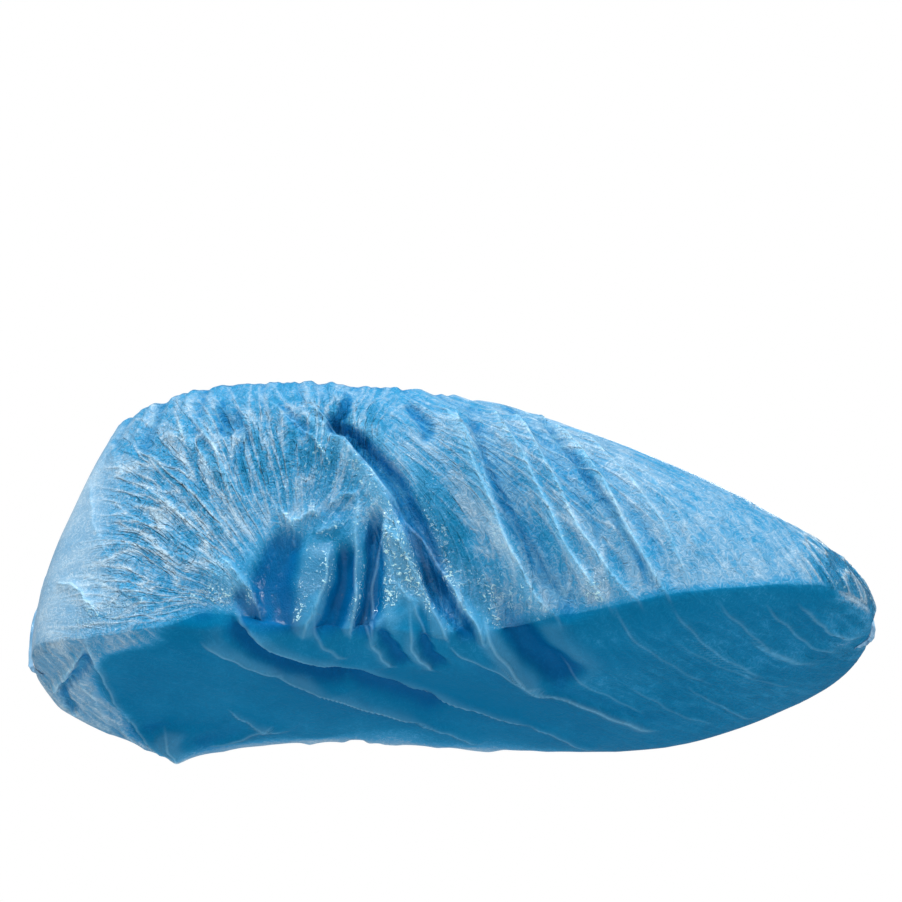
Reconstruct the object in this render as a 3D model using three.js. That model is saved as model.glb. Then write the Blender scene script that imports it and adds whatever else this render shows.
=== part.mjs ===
import * as THREE from 'three';

// All lengths in mm. X runs from heel to toe, -Y is the near side, Z is up.
// The inner face of the sole lies about Z = 0, with X = 0 half way along the cover.
const LENGTH = 332;          // sole outline, heel to toe
const BALL = 60;             // half width of the sole at the ball of the foot
const HEIGHT = 120;          // highest point of the rim
const OPEN_LENGTH = 180;
const OPEN_WIDTH = 99;
const OPEN_SHIFT = -55;      // middle of the opening, along X
const SOLE_SHIFT = -1;
const BLUNT = 0.72;          // below 1 makes heel and toe blunter than an ellipse
const SPINE = 0.62;          // share of the sole's length that its centre line spans
const EDGE = 7;              // rounding between wall and sole
const TUCK = 2;              // how far the rounding draws in under the wall
const EVEN = 0.35;           // evens out the columns along the sides
const FILM = 1.4;            // wall of the film
const BAND_THICK = 1.6;      // elastic band
const CLEAR = 0.3;           // gap kept between pieces
const POCKET = BAND_THICK + 2 * CLEAR;
const HEM_DROP = 0.11;       // depth of the hem, as a share of the wall
const BAND_FROM = 0.012;     // the band's upper and lower edge in the hem, same share
const BAND_TO = 0.062;
const FOLD = 10;             // unit of a fold's width and height
const FIN_HEIGHT = 2.2;      // heat seals at toe and heel
const FIN_THICK = 1.2;
const TOE_SEAL = { turn: 0.5, from: 0.5, to: 1.25, steps: 12 };
const HEEL_SEAL = { turn: 0, from: 0.35, to: 1.2, steps: 14 };

const COLUMNS = 120;
const GATHERS = 40;
const GATHER_HEIGHT = 1.3;
const GATHER_REACH = 0.5;    // share of the wall over which the gathers die away
const SCALLOP = 0.7;         // rise of the rim between two gathers

// One row a rib. turn: 0 heel, 0.25 near side, 0.5 toe, 0.75 far side.
// half: half width of the sole (of BALL). The others are shares of HEIGHT: rim and lift are the
// heights of opening and sole, out and down lead the wall away from the rim, belly and stand bring
// it to the sole.
const RIB_COLUMNS = ['turn', 'half', 'rim', 'lift', 'out', 'down', 'belly', 'stand'];
const RIBS = [
  [0.00, 0.80, 1.000, 0.045, 0.08, 0.27, 0.03, 0.33],
  [0.06, 0.84, 0.990, 0.020, 0.10, 0.27, 0.04, 0.38],
  [0.13, 0.83, 0.985, 0.010, 0.10, 0.26, 0.06, 0.42],
  [0.20, 0.60, 0.985, 0.040, 0.09, 0.28, 0.11, 0.44],
  [0.27, 0.50, 0.980, 0.050, 0.10, 0.23, 0.20, 0.40],
  [0.34, 0.98, 0.975, 0.065, 0.14, 0.15, 0.07, 0.35],
  [0.41, 1.12, 0.970, 0.135, 0.25, 0.11, 0.03, 0.29],
  [0.46, 1.04, 0.975, 0.170, 0.31, 0.09, 0.05, 0.24],
  [0.50, 1.00, 0.975, 0.170, 0.33, 0.09, 0.05, 0.23],
  [0.54, 0.98, 0.975, 0.140, 0.31, 0.09, 0.04, 0.24],
  [0.59, 1.00, 0.970, 0.085, 0.25, 0.11, 0.03, 0.29],
  [0.66, 1.03, 0.975, 0.000, 0.14, 0.15, 0.05, 0.33],
  [0.73, 0.92, 0.980, -0.010, 0.10, 0.23, 0.09, 0.40],
  [0.80, 0.82, 0.985, -0.010, 0.09, 0.28, 0.07, 0.44],
  [0.87, 0.92, 0.990, -0.050, 0.10, 0.26, 0.08, 0.44],
  [0.94, 0.86, 1.000, -0.020, 0.10, 0.27, 0.04, 0.36],
];

// Height of the sole's centre line. along: share of LENGTH from the middle, up: share of HEIGHT.
const SPINE_COLUMNS = ['along', 'up'];
const SPINE_LINE = [
  [-0.50, 0.00], [-0.18, 0.01], [-0.03, 0.045], [0.12, 0.01], [0.30, 0.05], [0.50, 0.16],
];

// Folds of the side walls. side: -1 near, 1 far. along and up as above, wide and high: of FOLD,
// a high below 0 is a groove.
const SIDE_COLUMNS = ['side', 'along', 'up', 'toAlong', 'toUp', 'wide', 'high'];
const SIDE_FOLDS = [
  [-1, -0.150, 0.86, -0.062, 0.50, 0.75, 0.34],
  [-1, -0.062, 0.50, 0.030, 0.08, 0.75, 0.40],
  [-1, -0.105, 0.84, -0.028, 0.44, 0.85, -0.50],
  [-1, -0.028, 0.44, 0.062, 0.04, 0.85, -0.62],
  [-1, -0.030, 0.84, 0.080, 0.30, 0.75, 0.26],
  [-1, 0.040, 0.80, 0.165, 0.20, 0.70, 0.24],
  [-1, 0.110, 0.72, 0.240, 0.18, 0.70, 0.20],
  [-1, 0.200, 0.54, 0.330, 0.20, 0.70, 0.16],
  [-1, -0.232, 0.38, -0.205, 0.02, 0.65, -0.46],
  [-1, -0.190, 0.42, -0.170, 0.02, 0.60, 0.34],
  [-1, -0.155, 0.44, -0.138, 0.02, 0.62, -0.48],
  [-1, -0.120, 0.40, -0.108, 0.02, 0.60, 0.30],
  [-1, -0.085, 0.36, -0.070, 0.02, 0.62, -0.44],
  [-1, -0.390, 0.88, -0.255, 0.28, 0.65, 0.26],
  [-1, -0.340, 0.88, -0.225, 0.44, 0.65, 0.24],
  [-1, -0.440, 0.66, -0.370, 0.20, 0.65, 0.20],
  [-1, -0.250, 0.82, -0.225, 0.52, 0.60, 0.20],
  [1, -0.130, 0.84, -0.020, 0.40, 0.75, 0.34],
  [1, -0.020, 0.40, 0.060, 0.08, 0.75, 0.34],
  [1, -0.085, 0.82, 0.030, 0.34, 0.85, -0.48],
  [1, 0.030, 0.78, 0.160, 0.20, 0.70, 0.24],
  [1, 0.110, 0.70, 0.240, 0.16, 0.70, 0.20],
  [1, -0.230, 0.42, -0.195, 0.04, 0.65, -0.42],
  [1, -0.165, 0.42, -0.140, 0.04, 0.62, -0.42],
  [1, -0.100, 0.38, -0.080, 0.04, 0.62, -0.36],
  [1, -0.400, 0.86, -0.270, 0.30, 0.65, 0.24],
  [1, -0.330, 0.86, -0.225, 0.42, 0.65, 0.22],
];

// Folds of the sole. across: share of BALL, below 0 on the near side. The rest as above.
const SOLE_COLUMNS = ['along', 'across', 'toAlong', 'toAcross', 'wide', 'high'];
const SOLE_FOLDS = [
  [-0.340, -0.66, -0.250, -0.60, 0.60, 0.20],
  [-0.250, -0.60, -0.138, -0.28, 0.60, 0.34],
  [-0.138, -0.28, 0.003, 0.12, 0.60, 0.28],
  [-0.215, -0.50, -0.090, -0.12, 0.65, -0.42],
  [-0.240, -0.30, -0.108, 0.26, 0.60, 0.28],
  [-0.108, 0.26, 0.006, 0.70, 0.60, 0.30],
  [-0.350, 0.40, -0.335, 0.95, 1.30, 0.70],
  [-0.298, 0.20, -0.232, 0.34, 0.60, 0.20],
  [0.025, -0.66, 0.100, -0.40, 0.85, -0.56],
  [0.050, -0.46, 0.123, 0.04, 0.65, 0.42],
  [0.123, 0.04, 0.223, 0.40, 0.65, 0.32],
  [-0.030, -0.10, 0.130, 0.74, 0.65, 0.26],
];

const TAU = 2 * Math.PI;
const UP = new THREE.Vector3(0, 0, 1);

const clamp = (v, low, high) => Math.min(high, Math.max(low, v));

function smooth(v) {
  const s = clamp(v, 0, 1);
  return s * s * (3 - 2 * s);
}

function hermite(u, before, from, to, after, fromRate, toRate) {
  const u2 = u * u;
  const u3 = u2 * u;
  return (2 * u3 - 3 * u2 + 1) * from + (u3 - 2 * u2 + u) * fromRate * (to - before)
    + (3 * u2 - 2 * u3) * to + (u3 - u2) * toRate * (after - from);
}

// Smooth closed curve through one column of the rib table.
function rib(name, turn) {
  const c = RIB_COLUMNS.indexOf(name);
  const n = RIBS.length;
  const a = ((turn % 1) + 1) % 1;
  let k = n - 1;
  while (RIBS[k][0] > a) k -= 1;
  const at = (i) => RIBS[((i % n) + n) % n][0] + Math.floor(i / n);
  const value = (i) => RIBS[((i % n) + n) % n][c];
  const step = at(k + 1) - at(k);
  return hermite((a - at(k)) / step, value(k - 1), value(k), value(k + 1), value(k + 2),
    step / (at(k + 1) - at(k - 1)), step / (at(k + 2) - at(k)));
}

function spineHeight(x) {
  const along = x / LENGTH;
  let k = 0;
  while (k < SPINE_LINE.length - 2 && SPINE_LINE[k + 1][0] < along) k += 1;
  const [from, low] = SPINE_LINE[k];
  const [to, high] = SPINE_LINE[k + 1];
  return HEIGHT * (low + (high - low) * smooth((along - from) / (to - from)));
}

function bezier(p, q, r, s, u) {
  const v = 1 - u;
  return new THREE.Vector3()
    .addScaledVector(p, v * v * v)
    .addScaledVector(q, 3 * v * v * u)
    .addScaledVector(r, 3 * v * u * u)
    .addScaledVector(s, u * u * u);
}

function even(turn) {
  return turn + EVEN * Math.sin(2 * TAU * turn) / (2 * TAU);
}

// The smooth form. drop: 0 rim, 1 edge of the sole, 2 centre line of the sole.
function form(turn, drop) {
  const place = even(turn);
  const c = Math.cos(TAU * place);
  const s = Math.sin(TAU * place);
  const size = (name) => rib(name, place) * HEIGHT;
  const outward = new THREE.Vector3(-c, -s, 0);
  const rim = new THREE.Vector3(OPEN_SHIFT - OPEN_LENGTH / 2 * c, -OPEN_WIDTH / 2 * s, size('rim'));
  const side = rib('half', place) * BALL * Math.sign(s) * Math.abs(s) ** BLUNT;
  const edge = new THREE.Vector3(SOLE_SHIFT - LENGTH / 2 * c, -side, size('lift') + EDGE);
  if (drop <= 1) {
    const lead = rim.clone().addScaledVector(outward, size('out')).addScaledVector(UP, -size('down'));
    const bring = edge.clone().addScaledVector(outward, size('belly')).addScaledVector(UP, size('stand'));
    return bezier(rim, lead, bring, edge, drop);
  }
  const x = SOLE_SHIFT - LENGTH / 2 * SPINE * c;
  const spine = new THREE.Vector3(x, 0, spineHeight(x));
  const under = edge.clone().addScaledVector(outward, -TUCK).addScaledVector(UP, -EDGE * 0.9);
  const flat = spine.clone().lerp(edge, 0.45).setZ(spine.z);
  return bezier(edge, under, flat, spine, drop - 1);
}

// Direction in which folds stand out: square to the wall, straight down under the sole.
function facing(turn, drop) {
  const step = 0.002;
  const from = clamp(drop, step, 1 - step);
  const along = form(turn + step, from).sub(form(turn - step, from));
  const down = form(turn, from + step).sub(form(turn, from - step));
  const out = down.cross(along).normalize();
  return out.lerp(UP.clone().negate(), smooth((drop - 0.85) / 0.4)).normalize();
}

// Height of one straight fold at a point, both ends tapered.
function ridge(px, py, ax, ay, bx, by, wide, high) {
  const dx = bx - ax;
  const dy = by - ay;
  const long = Math.hypot(dx, dy);
  const run = ((px - ax) * dx + (py - ay) * dy) / (long * long);
  const off = ((px - ax) * dy - (py - ay) * dx) / long;
  const taper = smooth((run + 0.12) / 0.24) * smooth((1.12 - run) / 0.24);
  return high * taper * Math.exp(-((off / wide) ** 2));
}

function sideFolds(turn, drop, p) {
  const s = Math.sin(TAU * even(turn));
  const keep = 1 - smooth((drop - 1.0) / 0.4);
  let sum = 0;
  for (const [side, along, up, toAlong, toUp, wide, high] of SIDE_FOLDS) {
    sum += smooth(-side * s / 0.35) * keep * ridge(p.x, p.z, along * LENGTH, up * HEIGHT,
      toAlong * LENGTH, toUp * HEIGHT, wide * FOLD, high * FOLD);
  }
  return sum;
}

function soleFolds(drop, p) {
  const keep = smooth((drop - 0.8) / 0.4);
  let sum = 0;
  for (const [along, across, toAlong, toAcross, wide, high] of SOLE_FOLDS) {
    sum += keep * ridge(p.x, p.y, along * LENGTH, across * BALL,
      toAlong * LENGTH, toAcross * BALL, wide * FOLD, high * FOLD);
  }
  return sum;
}

// Small gathers below the rim, dying away down the wall.
function gather(turn, drop) {
  const fade = 1 - smooth((drop - HEM_DROP) / GATHER_REACH);
  const uneven = 0.75 + 0.25 * Math.sin(TAU * 5 * turn + 1) * Math.cos(TAU * 3 * turn);
  return GATHER_HEIGHT * uneven * fade * Math.cos(TAU * GATHERS * turn + 0.5);
}

// A point of the film, so far below its outer face.
function film(turn, drop, below) {
  const p = form(turn, drop);
  const fadeIn = smooth((drop - HEM_DROP) / 0.12);
  const folds = fadeIn * (sideFolds(turn, drop, p) + soleFolds(drop, p));
  const stand = folds + gather(turn, drop) - below;
  const scallop = SCALLOP * (1 - smooth(drop / 0.3)) * Math.cos(TAU * GATHERS * turn + 2);
  return p.addScaledVector(facing(turn, drop), stand).addScaledVector(UP, scallop - FILM);
}

// A point on the rounded top of the hem: angle 0 outside, half a turn inside.
function hemTop(turn, radius, angle) {
  const middle = FILM + POCKET / 2;
  const rise = film(turn, 0, middle).sub(film(turn, 0.02, middle)).normalize();
  return film(turn, 0, middle - radius * Math.cos(angle)).addScaledVector(rise, radius * Math.sin(angle));
}

const WALL_DROPS = [0, 0.06, HEM_DROP, 0.20, 0.30, 0.40, 0.50, 0.60, 0.70, 0.80, 0.90, 1];
const SOLE_DROPS = [1.14, 1.32, 1.54, 1.77, 2];
const TOP_ANGLES = [Math.PI * 0.25, Math.PI * 0.5, Math.PI * 0.75];

// One cut through the film, from the outer centre line over the hem to the inner centre line.
function filmSection(turn) {
  const down = [...WALL_DROPS, ...SOLE_DROPS];
  const hem = [0, 0.06, HEM_DROP];
  const outside = down.map((drop) => film(turn, drop, 0)).reverse();
  const over = TOP_ANGLES.map((angle) => hemTop(turn, FILM + POCKET / 2, angle));
  const flapInner = hem.map((drop) => film(turn, drop, 2 * FILM + POCKET));
  const flapPocket = hem.map((drop) => film(turn, drop, FILM + POCKET)).reverse();
  const back = TOP_ANGLES.map((angle) => hemTop(turn, POCKET / 2, Math.PI - angle));
  const inside = down.map((drop) => film(turn, drop, FILM));
  return [...outside, ...over, ...flapInner, ...flapPocket, ...back, ...inside];
}

// Joins a ring of equal cuts; an open cut ends on the centre line, where both halves meet.
function ringGeometry(sections, closed) {
  const count = sections.length;
  const size = sections[0].length;
  const index = [];
  for (let i = 0; i < count; i += 1) {
    const next = (i + 1) % count;
    for (let j = 0; j < (closed ? size : size - 1); j += 1) {
      const k = (j + 1) % size;
      const a = i * size + j;
      const b = next * size + j;
      const c = next * size + k;
      const d = i * size + k;
      index.push(a, c, b, a, d, c);
    }
  }
  return solidGeometry(sections.flat(), index);
}

function signedVolume(points, faces) {
  let sum = 0;
  for (let i = 0; i < faces.length; i += 3) {
    const [a, b, c] = [points[faces[i]], points[faces[i + 1]], points[faces[i + 2]]];
    sum += a.dot(b.clone().cross(c));
  }
  return sum / 6;
}

// Merges equal corners, drops triangles that have lost their area and turns the rest outward.
function solidGeometry(points, index) {
  const seen = new Map();
  const kept = [];
  const remap = points.map((p) => {
    const key = [p.x, p.y, p.z].map((v) => Math.round(v * 1000)).join(' ');
    if (!seen.has(key)) {
      seen.set(key, kept.length);
      kept.push(p);
    }
    return seen.get(key);
  });
  const faces = [];
  for (let i = 0; i < index.length; i += 3) {
    const [a, b, c] = [remap[index[i]], remap[index[i + 1]], remap[index[i + 2]]];
    if (a !== b && b !== c && c !== a) faces.push(a, b, c);
  }
  if (signedVolume(kept, faces) < 0) faces.reverse();
  const geometry = new THREE.BufferGeometry();
  geometry.setAttribute('position', new THREE.Float32BufferAttribute(kept.flatMap((p) => [p.x, p.y, p.z]), 3));
  geometry.setIndex(faces);
  geometry.computeVertexNormals();
  return geometry;
}

function bandSection(turn) {
  const outer = FILM + CLEAR;
  const inner = outer + BAND_THICK;
  return [
    film(turn, BAND_FROM, outer),
    film(turn, BAND_FROM, inner),
    film(turn, BAND_TO, inner),
    film(turn, BAND_TO, outer),
  ];
}

// A heat seal: a thin fin that follows the film's end line at toe or heel.
function sealGeometry({ turn, from, to, steps }) {
  const sections = [];
  for (let i = 0; i <= steps; i += 1) {
    const drop = from + (to - from) * i / steps;
    const root = film(turn, drop, -CLEAR);
    const out = facing(turn, drop);
    const taper = 0.35 + 0.65 * smooth(4 * i / steps) * smooth(4 * (1 - i / steps));
    const tip = root.clone().addScaledVector(out, FIN_HEIGHT * taper);
    const across = new THREE.Vector3(0, FIN_THICK / 2, 0);
    sections.push([root.clone().sub(across), root.clone().add(across), tip.clone().add(across), tip.clone().sub(across)]);
  }
  const index = [];
  for (let i = 0; i < steps; i += 1) {
    for (let j = 0; j < 4; j += 1) {
      const a = i * 4 + j;
      const b = i * 4 + (j + 1) % 4;
      index.push(a, b, b + 4, a, b + 4, a + 4);
    }
  }
  const last = steps * 4;
  index.push(0, 2, 1, 0, 3, 2, last, last + 1, last + 2, last, last + 2, last + 3);
  return solidGeometry(sections.flat(), index);
}

function piece(name, geometry, color, roughness) {
  const mesh = new THREE.Mesh(geometry, new THREE.MeshStandardMaterial({ color, roughness, metalness: 0 }));
  mesh.name = name;
  mesh.material.name = name;
  return mesh;
}

const turns = Array.from({ length: COLUMNS }, (_, i) => i / COLUMNS);
const group = new THREE.Group();
group.name = 'shoe_cover';
group.add(
  piece('film_cover', ringGeometry(turns.map(filmSection), false), 0x3c98d2, 0.3),
  piece('elastic_band', ringGeometry(turns.map(bandSection), true), 0xe6eef2, 0.7),
  piece('toe_seal', sealGeometry(TOE_SEAL), 0x2f8bc8, 0.3),
  piece('heel_seal', sealGeometry(HEEL_SEAL), 0x2f8bc8, 0.3),
);

export default group;
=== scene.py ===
import math
import bpy
import numpy as np
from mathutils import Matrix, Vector


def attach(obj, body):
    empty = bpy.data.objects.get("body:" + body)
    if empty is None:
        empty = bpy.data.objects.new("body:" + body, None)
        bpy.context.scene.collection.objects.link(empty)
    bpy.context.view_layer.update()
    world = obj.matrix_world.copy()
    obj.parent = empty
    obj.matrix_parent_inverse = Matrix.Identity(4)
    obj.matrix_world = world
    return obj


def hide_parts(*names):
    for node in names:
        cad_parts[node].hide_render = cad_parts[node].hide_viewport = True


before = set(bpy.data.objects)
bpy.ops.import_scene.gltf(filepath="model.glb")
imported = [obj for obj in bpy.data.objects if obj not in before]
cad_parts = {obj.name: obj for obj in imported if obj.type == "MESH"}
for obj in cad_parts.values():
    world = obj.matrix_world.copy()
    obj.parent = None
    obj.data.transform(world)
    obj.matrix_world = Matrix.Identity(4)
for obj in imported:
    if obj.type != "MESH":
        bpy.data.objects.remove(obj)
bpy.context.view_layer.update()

# Form of the cover in mm: X from heel to toe, -Y the near side, Z up.
LENGTH = 332.0  # outline of the sole, heel to toe
BALL = 60.0  # half width of the sole at the ball of the foot
HEIGHT = 120.0  # highest point of the rim
OPEN_LENGTH = 180.0
OPEN_WIDTH = 99.0
OPEN_SHIFT = -55.0  # middle of the opening, along X
SOLE_SHIFT = -1.0
BLUNT = 0.72  # below 1 makes heel and toe blunter than an ellipse
SPINE = 0.62  # share of the sole's length that its centre line spans
EDGE = 7.0  # rounding between wall and sole
TUCK = 2.0  # how far the rounding draws in under the wall
TUCK_DOWN = 0.9  # how far it goes down, as a share of EDGE
FLAT_FROM = 0.45  # where the sole turns flat, as a share of the way out from its centre line
EVEN = 0.35  # evens out the columns along the sides
FILM = 1.4  # thickness of the film
BAND_THICK = 1.6
CLEAR = 0.3  # gap kept between pieces
POCKET = BAND_THICK + 2 * CLEAR
HEM_DROP = 0.11  # depth of the hem, as a share of the wall
BAND_FROM = 0.012  # upper and lower edge of the band in the hem, same share
BAND_TO = 0.062
PER_METRE = 1000
TAU = 2 * math.pi

# Resolution of the film: columns round the foot, rows down the wall and over the sole.
COLUMNS = 660
WALL_ROWS = 88
SOLE_ROWS = 52
FLAP_ROWS = 6

# Gathers at the rim: waves round the opening, height in mm, share of the wall they reach down.
GATHERS = [
    {"waves": 40, "high": 0.75, "reach": 0.50, "phase": 0.5},
    {"waves": 97, "high": 0.30, "reach": 0.34, "phase": 1.3},
]
# Ragged gathers: cells round the opening, height in mm, share of the wall they reach down.
RAGGED = [
    {"cells": 75, "high": 1.5, "reach": 0.42, "seed": 2},
    {"cells": 150, "high": 0.9, "reach": 0.24, "seed": 6},
]
SCALLOP = 1.1
# Where the rim sags or stands up: along of LENGTH, reach the same way, height in mm.
RIM_BENDS = ((-0.14, 0.10, -2.8), (0.095, 0.05, 2.4))
# Ragged edge of the sole at heel and arch, in mm, and the noises round the foot that make it.
RAG = 7.0
RAG_NOISES = ({"cells": 34, "seed": 21, "share": 1.0}, {"cells": 90, "seed": 22, "share": 0.6})
# Ragged height of the rim, made the same way.
SCALLOP_NOISES = ({"cells": 70, "seed": 3, "share": 1.0}, {"cells": 160, "seed": 4, "share": 0.7})

# One row a rib: 0 heel, 0.25 near side, 0.5 toe, 0.75 far side.
RIB_COLUMNS = ("turn", "half", "rim", "lift", "out", "down", "belly", "stand")
RIBS = (
    (0.00, 0.80, 1.000, 0.045, 0.08, 0.27, 0.03, 0.33),
    (0.06, 0.84, 0.990, 0.020, 0.10, 0.27, 0.04, 0.38),
    (0.13, 0.83, 0.985, 0.010, 0.10, 0.26, 0.06, 0.42),
    (0.20, 0.60, 0.985, 0.040, 0.09, 0.28, 0.11, 0.44),
    (0.27, 0.50, 0.980, 0.050, 0.10, 0.23, 0.20, 0.40),
    (0.34, 0.98, 0.975, 0.065, 0.14, 0.15, 0.07, 0.35),
    (0.41, 1.12, 0.970, 0.135, 0.25, 0.11, 0.03, 0.29),
    (0.46, 1.04, 0.975, 0.170, 0.31, 0.09, 0.05, 0.24),
    (0.50, 1.00, 0.975, 0.170, 0.33, 0.09, 0.05, 0.23),
    (0.54, 0.98, 0.975, 0.140, 0.31, 0.09, 0.04, 0.24),
    (0.59, 1.00, 0.970, 0.085, 0.25, 0.11, 0.03, 0.29),
    (0.66, 1.03, 0.975, 0.000, 0.14, 0.15, 0.05, 0.33),
    (0.73, 0.92, 0.980, -0.010, 0.10, 0.23, 0.09, 0.40),
    (0.80, 0.82, 0.985, -0.010, 0.09, 0.28, 0.07, 0.44),
    (0.87, 0.92, 0.990, -0.050, 0.10, 0.26, 0.08, 0.44),
    (0.94, 0.86, 1.000, -0.020, 0.10, 0.27, 0.04, 0.36),
)
# Centre line of the sole: along of LENGTH, up of HEIGHT.
SPINE_LINE = (
    (-0.50, 0.000),
    (-0.18, 0.010),
    (-0.03, 0.045),
    (0.12, 0.010),
    (0.30, 0.050),
    (0.50, 0.160),
)

# Folds of the walls, one row a fold: side, along, up, to_along, to_up, bow, wide, edge, high.
# side: -1 near, 1 far. along: share of LENGTH, up: share of HEIGHT. bow: how far the middle
# stands off the straight line, as a share of its length. wide, edge: breadth on the left and on
# the right of the line from top to bottom, in mm. high: in mm, below 0 a groove.
WALL_FOLDS = (
    (-1, -0.180, 0.86, -0.065, 0.45, 0.03, 9.0, 2.2, 4.4),
    (-1, -0.068, 0.46, 0.042, 0.03, 0.02, 9.0, 2.2, 4.6),
    (-1, -0.168, 0.84, -0.010, 0.16, 0.07, 4.6, 4.4, -5.8),
    (-1, -0.040, 0.30, 0.036, -0.04, 0.02, 3.0, 3.6, -4.6),
    (-1, -0.128, 0.94, -0.146, 0.72, 0.00, 3.0, 3.0, -3.4),
    (-1, -0.086, 0.42, -0.004, 0.04, 0.03, 5.0, 2.0, 2.4),
    (-1, -0.070, 0.24, -0.020, 0.03, 0.02, 4.0, 1.8, 1.8),
    (-1, -0.196, 0.40, -0.212, 0.02, -0.06, 8.0, 9.0, -5.0),
    (-1, -0.146, 0.35, -0.192, -0.02, 0.06, 10.0, 3.0, 4.4),
    (-1, -0.126, 0.35, -0.164, -0.02, 0.06, 5.0, 5.0, -4.6),
    (-1, -0.116, 0.50, -0.126, -0.03, 0.02, 4.0, 2.2, 3.0),
    (-1, -0.093, 0.45, -0.112, -0.02, 0.04, 4.6, 3.4, -6.4),
    (-1, -0.083, 0.44, -0.098, 0.00, -0.03, 1.8, 10.0, 3.0),
    (-1, -0.270, 0.29, -0.222, 0.10, 0.03, 5.0, 1.8, 2.6),
    (-1, -0.252, 0.18, -0.234, 0.05, 0.00, 3.6, 3.2, -2.6),
    (-1, -0.385, 0.74, -0.262, 0.36, 0.03, 4.0, 2.0, 1.5),
    (-1, -0.372, 0.58, -0.226, 0.14, 0.02, 4.5, 2.0, 1.7),
    (-1, -0.350, 0.80, -0.240, 0.46, 0.04, 4.0, 1.8, 1.3),
    (-1, -0.415, 0.52, -0.262, 0.24, 0.01, 4.0, 1.8, 1.2),
    (-1, -0.415, 0.40, -0.255, 0.20, 0.02, 3.6, 1.8, 1.2),
    (-1, -0.402, 0.26, -0.352, 0.14, 0.00, 3.0, 1.8, 1.2),
    (-1, -0.446, 0.70, -0.402, 0.30, -0.04, 6.0, 2.2, 0.9),
    (-1, -0.470, 0.30, -0.412, 0.14, 0.05, 3.0, 2.0, 2.0),
    (-1, -0.430, 0.90, -0.392, 0.62, -0.03, 5.0, 2.0, 0.8),
    (-1, -0.343, 0.86, -0.290, 0.56, 0.04, 3.2, 1.6, 1.3),
    (-1, -0.325, 0.89, -0.264, 0.49, 0.04, 3.0, 1.6, 1.3),
    (-1, -0.287, 0.91, -0.273, 0.75, 0.00, 3.6, 2.6, -2.6),
    (-1, -0.268, 0.88, -0.246, 0.68, 0.00, 3.0, 2.0, -1.6),
    (-1, -0.235, 0.90, -0.150, 0.62, 0.05, 5.0, 2.0, 1.8),
    (-1, -0.218, 0.88, -0.176, 0.72, 0.04, 2.4, 2.4, -1.6),
    (-1, 0.000, 0.84, 0.118, 0.10, -0.06, 7.0, 2.2, 3.6),
    (-1, 0.014, 0.84, 0.126, 0.14, -0.06, 1.6, 1.8, -1.8),
    (-1, 0.041, 0.87, 0.174, 0.12, -0.03, 6.0, 2.0, 3.4),
    (-1, 0.062, 0.89, 0.206, 0.11, -0.04, 6.0, 2.0, 3.2),
    (-1, 0.098, 0.88, 0.240, 0.11, 0.01, 6.5, 2.0, 3.6),
    (-1, 0.090, 0.86, 0.230, 0.12, 0.01, 2.0, 1.6, -2.0),
    (-1, 0.126, 0.84, 0.265, 0.15, 0.05, 5.0, 2.0, 1.8),
    (-1, 0.195, 0.66, 0.280, 0.24, 0.05, 4.0, 2.0, 1.3),
    (-1, -0.060, 0.88, -0.030, 0.70, 0.05, 3.0, 3.0, -2.4),
    (-1, -0.020, 0.86, 0.045, 0.48, 0.05, 4.0, 2.2, 1.6),
    (-1, 0.058, 0.90, 0.078, 0.82, 0.00, 3.0, 3.0, -1.8),
    (-1, 0.098, 0.90, 0.124, 0.77, 0.00, 2.4, 2.4, -2.8),
    (-1, -0.196, 0.41, -0.160, 0.46, 0.10, 2.0, 2.8, 2.0),
    (-1, -0.164, 0.39, -0.136, 0.43, -0.08, 1.8, 2.6, 1.8),
    (-1, -0.150, 0.48, -0.116, 0.52, 0.08, 1.8, 2.8, 1.6),
    (-1, -0.210, 0.48, -0.188, 0.35, 0.10, 1.8, 2.4, 1.6),
    (1, -0.160, 0.86, -0.030, 0.42, 0.04, 9.0, 2.4, 3.6),
    (1, -0.030, 0.42, 0.050, 0.06, 0.03, 9.0, 2.4, 3.6),
    (1, -0.115, 0.82, 0.020, 0.28, 0.04, 4.5, 4.5, -4.0),
    (1, 0.010, 0.84, 0.120, 0.14, 0.05, 6.0, 2.2, 2.4),
    (1, 0.055, 0.88, 0.190, 0.12, 0.05, 5.0, 2.0, 2.2),
    (1, 0.105, 0.86, 0.245, 0.14, 0.04, 5.0, 2.0, 2.0),
    (1, -0.205, 0.38, -0.200, 0.04, -0.05, 8.0, 6.0, -3.4),
    (1, -0.150, 0.35, -0.182, 0.03, 0.05, 7.0, 3.2, 3.0),
    (1, -0.110, 0.42, -0.125, 0.02, 0.02, 3.6, 3.6, -3.4),
    (1, -0.085, 0.42, -0.090, 0.03, -0.03, 2.4, 6.0, 2.2),
    (1, -0.390, 0.76, -0.262, 0.34, 0.03, 4.0, 2.0, 1.6),
    (1, -0.370, 0.56, -0.236, 0.14, 0.03, 4.5, 2.0, 1.6),
    (1, -0.345, 0.84, -0.262, 0.50, 0.04, 3.6, 1.8, 1.4),
    (1, -0.412, 0.42, -0.270, 0.22, 0.02, 4.0, 2.0, 1.2),
    (1, -0.288, 0.90, -0.268, 0.70, 0.00, 3.6, 2.6, -2.2),
)

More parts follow.
